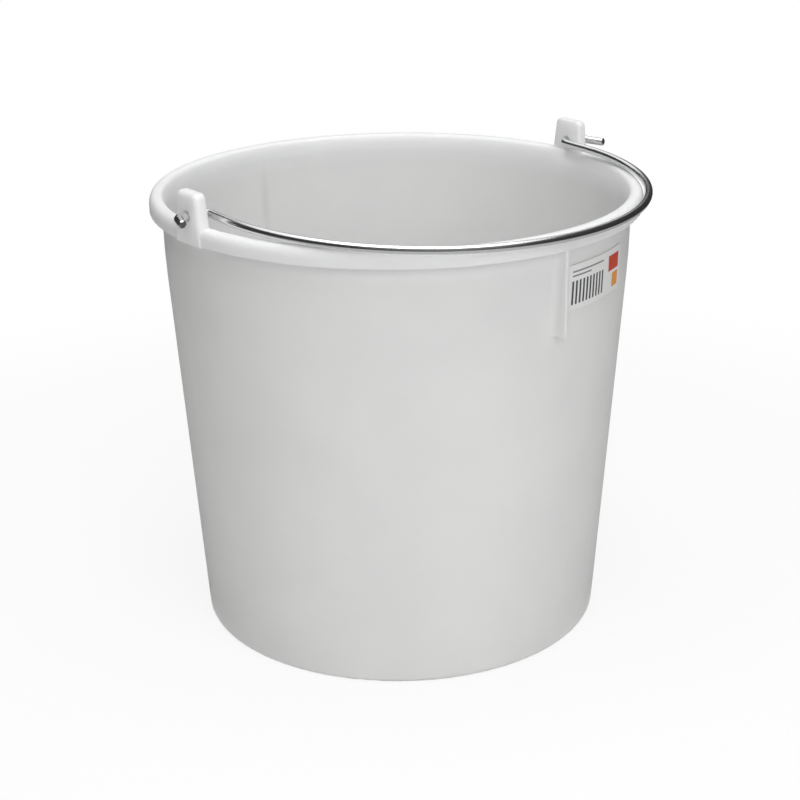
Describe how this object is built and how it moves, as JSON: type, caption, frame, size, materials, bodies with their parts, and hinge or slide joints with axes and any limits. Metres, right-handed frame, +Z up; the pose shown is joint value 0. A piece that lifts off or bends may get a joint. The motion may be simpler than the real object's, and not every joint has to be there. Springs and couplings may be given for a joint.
{
  "type": "plastic bucket",
  "caption": "Round tapered bucket in natural polyethylene with a rolled rim, upright moulded ears and a swinging wire bail.",
  "frame": {"origin": "centre of the foot ring, on the floor", "axes": "+Z up along the bucket's axis, +X along the bail's pivot axis, and the bail lies at rest over the rim towards -Y"},
  "size_m": [0.3363, 0.32, 0.3044],
  "materials": {
    "natural_polyethylene": "satin, slightly translucent, as moulded",
    "plated_steel_wire": "bright plated round wire",
    "sticker_paper": "coated paper, printed"
  },
  "bodies": {
    "bucket": {"bucket_body": "natural_polyethylene", "label": "sticker_paper"},
    "bail": {"wire_bail": "plated_steel_wire"}
  },
  "joints": [
    {"name": "bail_hinge", "type": "hinge", "parent": "bucket", "child": "bail", "pos_m": [0, 0, 0.29], "axis": [-1, 0, 0], "range_deg": [0, 183.8]}
  ]
}
